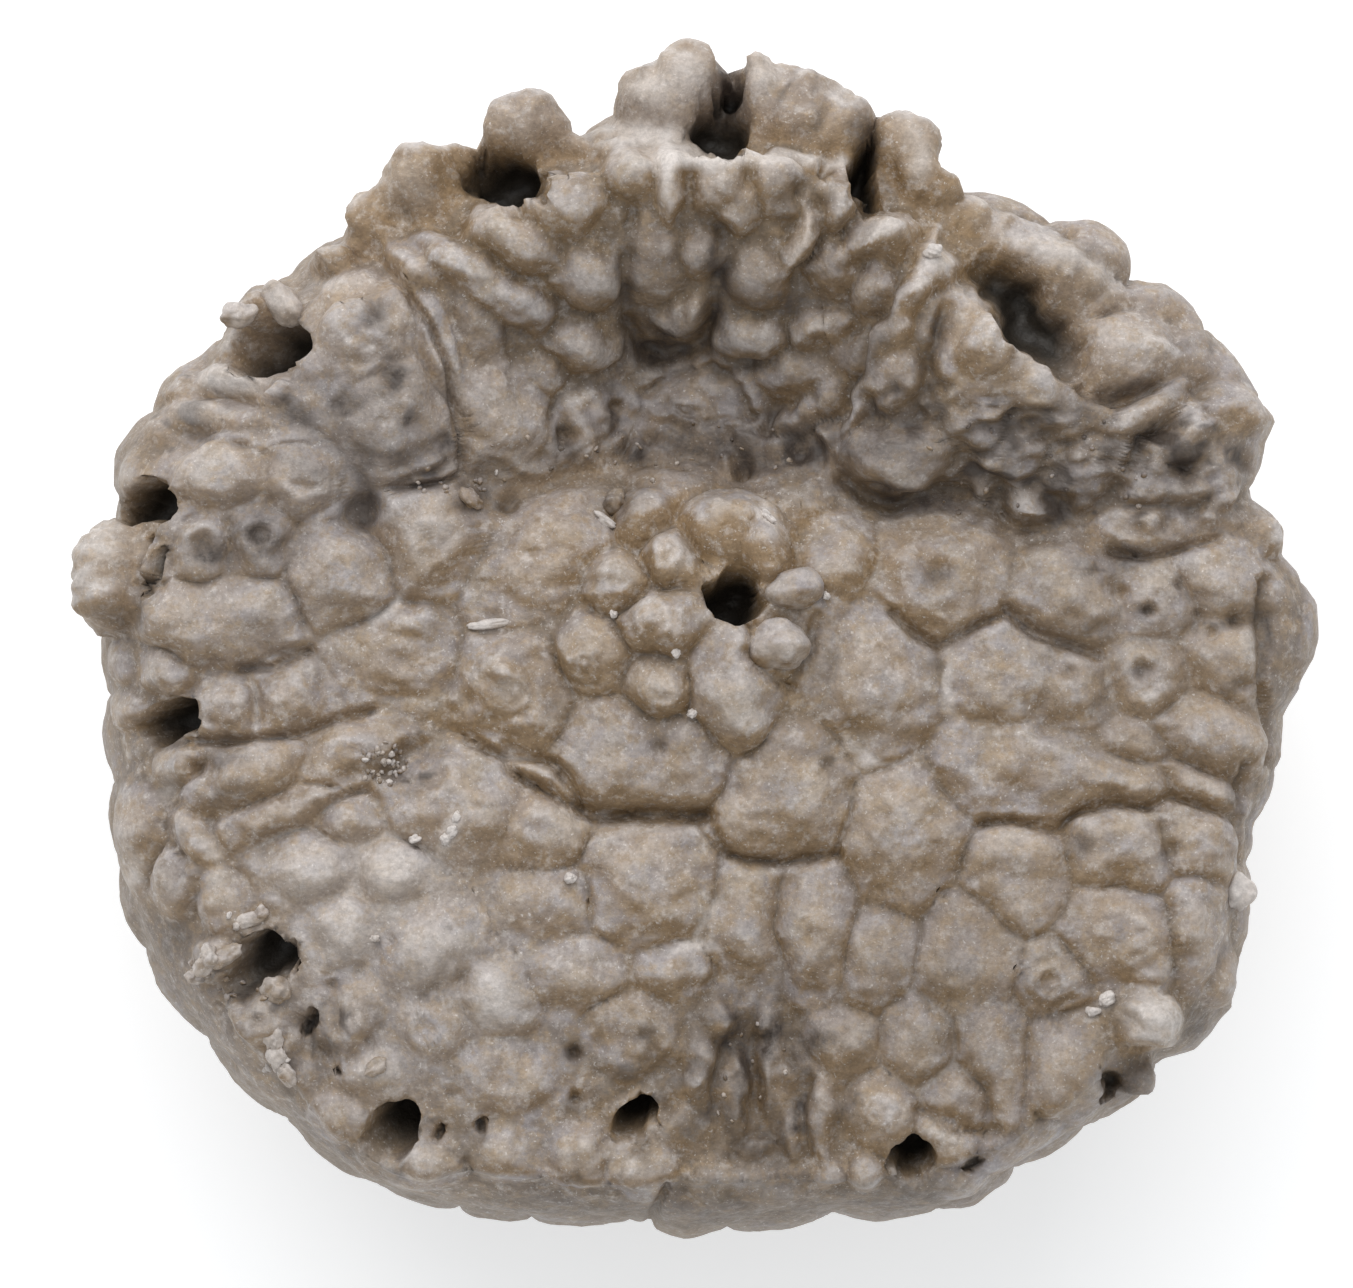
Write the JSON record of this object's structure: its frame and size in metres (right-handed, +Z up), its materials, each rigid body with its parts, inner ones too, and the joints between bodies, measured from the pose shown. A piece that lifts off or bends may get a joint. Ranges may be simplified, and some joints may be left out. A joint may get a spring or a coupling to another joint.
{
  "type": "fossil crinoid calyx",
  "caption": "Fossil crinoid calyx: a stony bowl of plates under a domed lid of swollen plates, with a small anal opening, a ring of arm openings and a stem facet below.",
  "frame": {"origin": "under the middle of the calyx, on the surface that it stands on", "axes": "+Z up, out of the tegmen (the side with the mouth and arms); +Y towards the side where the tegmen's rim stands highest"},
  "size_m": [0.05, 0.0475, 0.0253],
  "materials": {
    "calcite": "satin"
  },
  "bodies": {
    "root": {"calyx": "calcite"}
  },
  "joints": []
}
